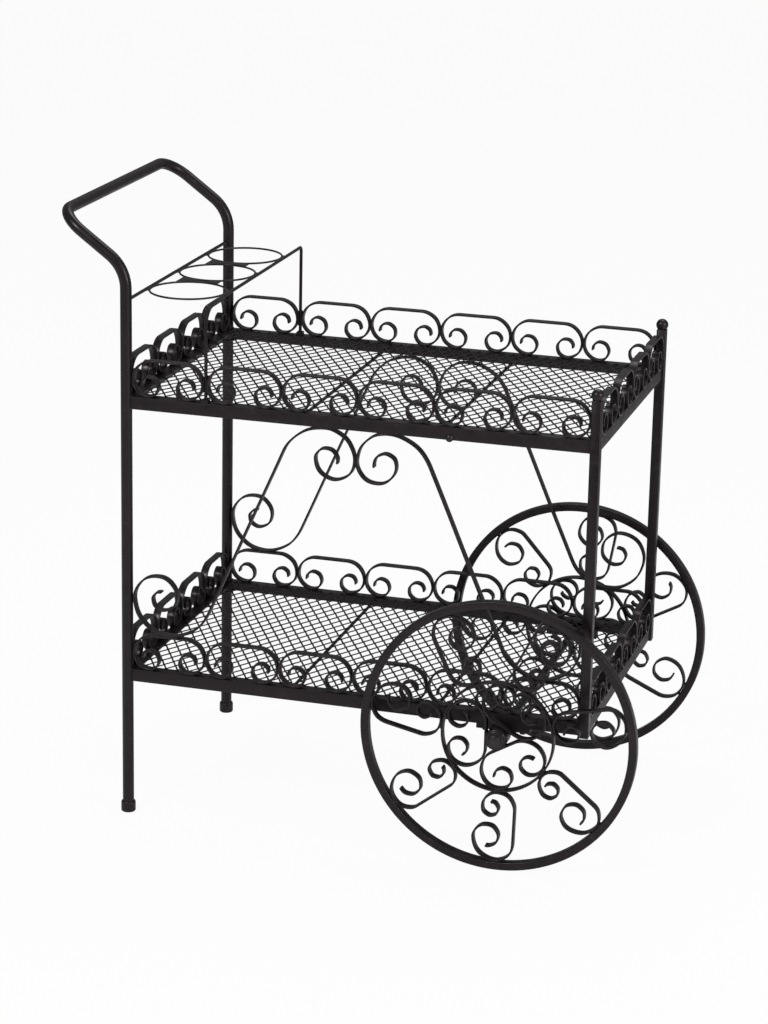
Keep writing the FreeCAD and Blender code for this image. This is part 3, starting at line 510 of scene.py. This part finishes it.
welds = []
LONG_START, LONG_END = TUBE_R + 0.1 - UPRIGHT_X, UPRIGHT_X - POST_HALF - 0.1
narrow, wide = RACK_LEG_X - 2.5 - LONG_START, (LONG_END - RACK_LEG_X - 2.5) / 5
for tier, top in (("upper", UPPER_Z), ("lower", LOWER_Z)):
    for place, sign in SIDES:
        plane = long_side(sign)
        if tier == "lower":
            sizes = [(LONG_END - LONG_START) / 6] * 6
            welds += gallery(f"lower_gallery_{place}", sizes, LONG_START, plane, top)
            continue
        shell = Shell()
        layout = [(narrow, LONG_START + narrow / 2)]
        layout += [(wide, LONG_END - (n + 0.5) * wide) for n in range(5)]
        for width, middle in layout:
            spot = (middle, top + GALLERY_H - STRIP_T / 2, -90)
            strip(shell, gallery_scroll(width).placed(*spot), plane)
            foot = (width - 0.2 - STRIP_T) / 2 - 24
            for off in (-5.2, 5.2):
                for way in (-1, 1):
                    u = middle + way * foot + off
                    welds.append((plane(u, top + 0.45, -5), plane(u, top + 0.45, 5), 1.1))
            for level in (21.5, 29.5):
                if middle - width / 2 > -200:
                    u = middle - width / 2
                    welds.append((plane(u, top + level, -5.4), plane(u, top + level, 5.4), 1.0))
        shell.build(f"upper_gallery_{place}_iron", STRIP, "cart", "strip_paint", f"upper_gallery_{place}")
    for place, sign, half in (("handle_end", -1, TUBE_R), ("wheel_end", 1, POST_HALF)):
        size = (UPRIGHT_Y - half - 0.1) / 2
        welds += gallery(f"{tier}_gallery_{place}", [size] * 4, -2 * size, short_side(sign), top)

# ------------------------------------------------------------------------------- lyre strips


def lyre_strip():
    top, bottom, fall = UPPER_Z - 19 - 1.5, LOWER_Z + GALLERY_H + 1.5, 66.5
    turned = math.radians(fall)
    arm = (top - bottom - (68.5 + 67) * (1 - math.cos(turned))) / math.sin(turned)
    back = Path(47, top, 180, bends((45.3, 90), (30, 90), (29, 90), (16.5, 90), (17, 105)))
    moves = [("bend", 68.5, -fall), ("run", arm), ("bend", 67, fall)]
    moves += bends((54, 90), (37, 90), (30, 90), (22, 90), (16, 90), (12, 100))
    return joined(back, Path(47, top, 0, moves))


for place, sign in SIDES:
    plane = long_side(sign)
    for end, turn in (("handle_side", -1), ("wheel_side", 1)):
        shell = Shell()
        line = lyre_strip()
        strip(shell, line if turn > 0 else line.flipped().placed(0, 0, 180), plane, wobble=0.2)
        shell.build(f"lyre_{place}_{end}_iron", STRIP, "cart", "strip_paint", f"lyre_{place}_{end}")
        for off in (-8, 8):
            u = turn * 47 + off
            welds.append((plane(u, 631.4, -5.2), plane(u, 631.4, 5.2), 1.2))
            u = turn * 285 + off
            welds.append((plane(u, 286.6, -5.2), plane(u, 286.6, 5.2), 1.2))
    for level in (578, 592):
        welds.append((plane(0, level, -5.4), plane(0, level, 5.4), 1.2))

# ------------------------------------------------------------------------------- pot ring rack

shell = Shell()
rail_x = MID_X - UPRIGHT_X
shell.skin(tube_rings([(rail_x, -216.8, RACK_Z), (rail_x, 216.8, RACK_Z)], 2.5, 20))
shell.build("rack_rail", TUBE, "cart", "tube_paint", "ring_rack_rail")

shell = Shell()
leg_x = MID_X + RACK_LEG_X
corners = [(leg_x, -RACK_LEG_Y, UPPER_Z + 5), (leg_x, -RACK_LEG_Y, RACK_Z)]
corners += [(leg_x, RACK_LEG_Y, RACK_Z), (leg_x, RACK_LEG_Y, UPPER_Z + 5)]
shell.skin(tube_rings(softened(corners, (6, 6)), 2.5, 20))
shell.build("rack_wire", TUBE, "cart", "tube_paint", "ring_rack_frame")

shell = Shell()
for place, sign in SIDES:
    block = rounded_section(5, 6, 0.8)
    eased = rounded_section(4.6, 5.6, 0.6)
    rings = [(block, 0), (block, 4.6), (eased, 5)]
    spot = (leg_x, sign * RACK_LEG_Y)
    shell.skin([[(spot[0] + a, spot[1] + b, UPPER_Z + z) for a, b in ring] for ring, z in rings])
shell.build("rack_blocks", STRIP, "cart", "tube_paint", "ring_rack_feet")

for place, sign in (("front", -1), ("middle", 0), ("back", 1)):
    shell = Shell()
    centre = (MID_X + RING_X, sign * RING_PITCH, RACK_Z)
    shell.skin(tube_rings(circle(centre, RING_R, 96), 1.5, 12, closed=True), closed=True)
    shell.build(f"ring_{place}", TUBE, "cart", "tube_paint", f"pot_ring_{place}")

# Plates between neighbouring rings; the front one has a slot.
for place, sign in (("front", -1), ("back", 1)):
    centre = (MID_X + RING_X, sign * RING_PITCH / 2)
    clear = RING_R + 1.6
    spots = [-36 + 60 * k / 24 for k in range(25)]
    edge = [(x, RING_PITCH / 2 - math.sqrt(clear**2 - x**2)) for x in spots]
    outer = edge + [(x, -y) for x, y in reversed(edge)]
    slot = [(16 * (k / 24 - 0.5), 2.5) for k in range(25)]
    inner = slot + [(x, -y) for x, y in reversed(slot)]
    shell = Shell()
    if place == "front":
        levels = ((outer, -1.5), (outer, 1.5), (inner, 1.5), (inner, -1.5))
        rings = [[(centre[0] + x, centre[1] + y, RACK_Z + z) for x, y in ring] for ring, z in levels]
    else:
        rings = []
        for x, half in edge:
            corners = ((-half, -1.5), (half, -1.5), (half, 1.5), (-half, 1.5))
            rings.append([(centre[0] + x, centre[1] + y, RACK_Z + z) for y, z in corners])
    shell.skin(rings, closed=place == "front")
    shell.build(f"web_{place}", WELD, "cart", "tube_paint", f"ring_web_{place}")

# Weld run into the narrow wedges where each ring meets the rail and the wire.
fillets = Shell()
for row in (-1, 0, 1):
    for way, line_x in ((-1, -UPRIGHT_X), (1, RACK_LEG_X)):
        for side in (-1, 1):
            rings = []
            for k in range(9):
                off = side * (0.5 + 20.5 * k / 8)
                arc = RING_X + way * math.sqrt(RING_R**2 - off**2)
                low, high = MID_X + min(arc, line_x), MID_X + max(arc, line_x)
                thick = 1.5 - 0.9 * k / 8
                y = row * RING_PITCH + off
                rings.append([(low, y, RACK_Z - thick), (high, y, RACK_Z - thick)])
                rings[-1] += [(high, y, RACK_Z + thick), (low, y, RACK_Z + thick)]
            fillets.skin(rings)
fillets.build("rack_fillets", WELD, "cart", "tube_paint")

# Weld between the rack legs and the scrolls beside them.
for sign in (-1, 1):
    for way in (-1, 1):
        for off in (-2.6, 2.6):
            spot = (leg_x + way * 2.4, sign * RACK_LEG_Y + off)
            welds.append(((*spot, UPPER_Z + 15), (*spot, UPPER_Z + 39), 1.5))

# ------------------------------------------------------------------------------- wheels


# the outer scrolls of a wheel: degrees away from an even spacing, millimetres slimmer
OUTER_SCROLLS = ((-1, 3), (-1, 2), (-0.5, 0), (1, -2), (-1, 5), (-1, 0), (-1, 5))


def outer_scroll(slimmer):
    half = slimmer / 2
    hub_side, run, spine_y = 109.5 - half, 54.9 + slimmer, 30.5 - slimmer
    inner = bends((24 - half, 90), (24 - half, 90), (13, 90), (11, 90), (10.5, 95))
    outer = bends((27 - half, 90), (33 - half, 90), (21, 90), (17, 90), (16, 100), side=-1)
    back = Path(hub_side, spine_y, 180, inner)
    return joined(back, Path(hub_side, spine_y, 0, [("run", run)] + outer))


def polar(radius, angle):
    return radius * math.cos(math.radians(angle)), radius * math.sin(math.radians(angle))


for place, sign in SIDES:
    body, plane = f"wheel_{place}", wheel_plane(sign)
    phase = 0 if sign < 0 else BACK_TURN
    for name, radius, half_t, half_w, soft in (("rim", 199, 6, 7, 1.3), ("inner_ring", 82.5, 1.5, 6, 0.75)):
        shell = Shell()
        section = rounded_section(half_t, half_w, soft)
        count = 160 if name == "rim" else 96
        rings = []
        for k in range(count):
            c, s = polar(1, 360 * k / count)
            rings.append([plane((radius + a) * c, (radius + a) * s, b) for a, b in section])
        shell.skin(rings, closed=True)
        shell.build(f"{name}_{place}", WHEEL, body, "wheel_paint", f"wheel_{name}_{place}")

    joints = Shell()
    shell = Shell()
    for number, (shift, slimmer) in enumerate(OUTER_SCROLLS):
        angle = 12.857 + phase + shift + number * 360 / 7
        strip(shell, outer_scroll(slimmer).placed(0, 0, angle), plane, wobble=0.2)
        for radius, near, size in ((192.5, 3.5 - slimmer / 2, 1.3), (84.6, 6.5 - slimmer / 2, 1.2)):
            middle = angle + math.degrees(near / radius)
            reach = 9.5 if radius > 100 else 6.5
            for way in (-1, 1):
                u, v = polar(radius, middle + way * math.degrees(reach / radius))
                bead(joints, (plane(u, v, -5.2), plane(u, v, 5.2)), size)
    shell.build(f"outer_scrolls_{place}", WHEEL, body, "wheel_paint", f"wheel_outer_scrolls_{place}")

    shell = Shell()
    for number in range(3):
        angle = 60 + phase + number * 120
        c, s = polar(17.5, angle)
        strip(shell, scroll(18.8, (31, 90), (24.8, 90), (16, 90), (13, 155)).placed(c, s, angle), plane)
        for off in (-26.5, 26.5):
            for reach in (-6, 6):
                u, v = polar(80.5, angle + off + math.degrees(reach / 80.5))
                bead(joints, (plane(u, v, -5.2), plane(u, v, 5.2)), 1.1)
        for off in (-19, 19):
            u, v = polar(17.4, angle + off)
            bead(joints, (plane(u, v, -5.6), plane(u, v, 5.6)), 1.5)
    shell.build(f"hub_scrolls_{place}", WHEEL, body, "wheel_paint", f"wheel_hub_scrolls_{place}")
    joints.build(f"wheel_welds_{place}", WELD, body, "wheel_paint")

    centre = (MID_X + WHEEL_X, sign * WHEEL_Y, WHEEL_R)
    shell = Shell()
    outline = [(6.06, -17), (12.6, -17), (14.4, -16.7), (15.6, -15.6), (16, -14.2), (16, 14.2)]
    outline += [(15.6, 15.6), (14.4, 16.7), (12.6, 17), (6.06, 17)]
    lathe(shell, centre, (0, sign, 0), outline)
    shell.build(f"hub_{place}", WHEEL, body, "wheel_paint", f"wheel_hub_{place}")

    axis_at = (MID_X + WHEEL_X, 0, WHEEL_R)
    for name, low, high, radius in (("collar", 229.3, 238.3, 10), ("washer", 272.9, 274.4, 13)):
        shell = Shell()
        outline = [(6.05, low), (radius - 0.5, low), (radius, low + 0.4)]
        outline += [(radius, high - 0.4), (radius - 0.5, high), (6.05, high)]
        lathe(shell, axis_at, (0, sign, 0), outline)
        shell.build(f"{name}_{place}", STEEL, "cart", "axle_steel", f"axle_{name}_{place}")
    shell = Shell()
    outline = [(6.05, 274.4), (9.6, 274.4), (10, 274.8), (10, 279.4), (9.7, 280.4), (8.9, 281.3)]
    outline += [(7.4, 281.9), (5, 282.3), (0, 282.4)]
    lathe(shell, axis_at, (0, sign, 0), [(0, 279)] + [(6.05, 279)] + outline)
    shell.build(f"hub_cap_{place}", STEEL, "cart", "axle_steel", f"axle_cap_{place}")

# ------------------------------------------------------------------------------- bolt and welds

shell = Shell()
ball = (6.0**2 + 4.0**2) / 8.0
outline = [(0, -6), (2.5, -6), (2.5, 0), (5.9, 0)]
for k in range(1, 11):
    angle = math.asin(6.0 / ball) * (1 - k / 10)
    outline.append((ball * math.sin(angle), ball * math.cos(angle) - ball + 4))
lathe(shell, (MID_X + 139, -HALF_Y, 635), (0, -1, 0), outline, 32)
shell.build("dome_bolt", STEEL, "cart", "axle_steel", "rail_bolt")

shell = Shell()
for start, end, size in welds:
    bead(shell, (start, end), size)
for tier, top in (("upper", UPPER_Z), ("lower", LOWER_Z)):
    for sign in (-1, 1):
        tube = (MID_X - UPRIGHT_X, sign * UPRIGHT_Y)
        for level in (top + 0.2, top - 19.2):
            around = circle((*tube, level), TUBE_R + 0.3, 22, first=-90 - 45 * sign, sweep=180)
            bead(shell, around, 1.2)
        post = (MID_X + UPRIGHT_X, sign * UPRIGHT_Y)
        for level in (top + 0.2, top - 19.2):
            inner_y = post[1] - sign * 7.5
            bead(shell, ((post[0] - 7.5, inner_y, level), (post[0] + 4, inner_y, level)), 1.1)
            bead(shell, ((post[0] - 7.5, inner_y, level), (post[0] - 7.5, post[1] + sign * 4, level)), 1.1)
        side_y = sign * (HALF_Y + 0.2)
        bead(shell, ((post[0] - 7.6, side_y, top - 1), (post[0] - 7.6, side_y, top - 18)), 1.1)
        bead(shell, ((tube[0] + 7.8, side_y, top - 1), (tube[0] + 7.8, side_y, top - 18)), 1.1)
for sign in (-1, 1):
    tube = (MID_X - UPRIGHT_X, sign * UPRIGHT_Y)
    ring = circle((tube[0], sign * 216.5, RACK_Z), 2.9, 12, up=(0, 1, 0))
    shell.skin(tube_rings(ring, 0.9, 8, closed=True), closed=True)
    ring = circle((leg_x, sign * RACK_LEG_Y, UPPER_Z + 5.2), 2.8, 12)
    shell.skin(tube_rings(ring, 0.9, 8, closed=True), closed=True)
    post = (MID_X + UPRIGHT_X, sign * UPRIGHT_Y, 709.1)
    shell.skin(tube_rings(circle(post, 5.9, 28), 0.8, 8, closed=True), closed=True)
shell.build("frame_welds", WELD, "cart", "tube_paint")

for name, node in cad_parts.items():
    for item in node.material_slots:
        item.material = STEEL if "bolt" in name or name == "axle" else FRAME

# ------------------------------------------------------------------------------- stage and camera


def stage_material(name, colour, lit):
    """Pale matt surface that the camera sees nearly white, with the object's soft shadow on it."""
    material = bpy.data.materials.new(name)
    material.use_nodes = True
    nodes, links = material.node_tree.nodes, material.node_tree.links
    shader = nodes["Principled BSDF"]
    shader.inputs["Base Color"].default_value = (*colour, 1)
    shader.inputs["Roughness"].default_value = 0.9
    shader.inputs["Specular IOR Level"].default_value = 0.1
    glow = nodes.new("ShaderNodeEmission")
    glow.inputs["Color"].default_value = (1, 1, 1, 1)
    rays = nodes.new("ShaderNodeLightPath")
    share = nodes.new("ShaderNodeMath")
    share.operation = "MULTIPLY"
    share.inputs[1].default_value = lit
    links.new(rays.outputs["Is Camera Ray"], share.inputs[0])
    mixed = nodes.new("ShaderNodeMixShader")
    links.new(share.outputs[0], mixed.inputs["Fac"])
    links.new(shader.outputs[0], mixed.inputs[1])
    links.new(glow.outputs[0], mixed.inputs[2])
    links.new(mixed.outputs[0], nodes["Material Output"].inputs["Surface"])
    return material


floor_mesh = bpy.data.meshes.new("floor")
floor_mesh.from_pydata([(-30, -30, 0), (30, -30, 0), (30, 30, 0), (-30, 30, 0)], [], [(0, 1, 2, 3)])
floor_mesh.materials.append(stage_material("floor_white", (0.9, 0.9, 0.9), 0.95))
floor = bpy.data.objects.new("floor", floor_mesh)
bpy.context.scene.collection.objects.link(floor)

world = bpy.data.worlds.new("studio")
world.use_nodes = True
bpy.context.scene.world = world
nodes, links = world.node_tree.nodes, world.node_tree.links
ambient = nodes["Background"]
ambient.inputs["Color"].default_value = (1, 1, 1, 1)
ambient.inputs["Strength"].default_value = 0.2
seen = nodes.new("ShaderNodeBackground")
seen.inputs["Color"].default_value = (1, 1, 1, 1)
seen.inputs["Strength"].default_value = 1.0
rays = nodes.new("ShaderNodeLightPath")
mixed = nodes.new("ShaderNodeMixShader")
links.new(rays.outputs["Is Camera Ray"], mixed.inputs["Fac"])
links.new(ambient.outputs[0], mixed.inputs[1])
links.new(seen.outputs[0], mixed.inputs[2])
links.new(mixed.outputs[0], nodes["World Output"].inputs["Surface"])


def lamp(name, spot, target, size, power):
    data = bpy.data.lights.new(name, "AREA")
    data.shape = "RECTANGLE"
    data.size, data.size_y = size
    data.energy = power
    light = bpy.data.objects.new(name, data)
    light.location = spot
    light.rotation_euler = (Vector(target) - Vector(spot)).to_track_quat("-Z", "Y").to_euler()
    bpy.context.scene.collection.objects.link(light)


lamp("key", (-1.4, -3.1, 3.1), (0, 0, 0.45), (1.0, 1.0), 72)
lamp("fill", (3.4, -1.6, 1.8), (0, 0, 0.4), (1.0, 1.6), 55)
lamp("top", (0.3, 1.2, 3.4), (0, 0, 0.5), (2.2, 1.4), 32)

# Camera fitted to the photograph: focal length in pixels, principal point, place and axes.
FOCAL, CENTRE_X, CENTRE_Y = 3068.6, 385.84, 505.0
azimuth, elevation, roll = (math.radians(a) for a in (16.034, 16.842, 1.168))
level = Vector((math.cos(azimuth), math.sin(azimuth), 0))
ahead = Vector((math.sin(azimuth), -math.cos(azimuth), 0))
back = ahead * math.cos(elevation) + Vector((0, 0, math.sin(elevation)))
right = level * math.cos(roll) + back.cross(level) * math.sin(roll)
up = back.cross(right)
lens = bpy.data.cameras.new("camera")
lens.sensor_width = 36
lens.lens = FOCAL / 1024 * 36
lens.shift_x = (384 - CENTRE_X) / 1024
lens.shift_y = (CENTRE_Y - 512) / 1024
camera = bpy.data.objects.new("camera", lens)
place = Matrix((right, up, back)).transposed().to_4x4()
place.translation = Vector((1210.1 + MID_X, -4273.9, 1800.7)) * MM
camera.matrix_world = place
bpy.context.scene.collection.objects.link(camera)
bpy.context.scene.camera = camera
bpy.context.scene.view_settings.view_transform = "Standard"

bpy.context.view_layer.update()
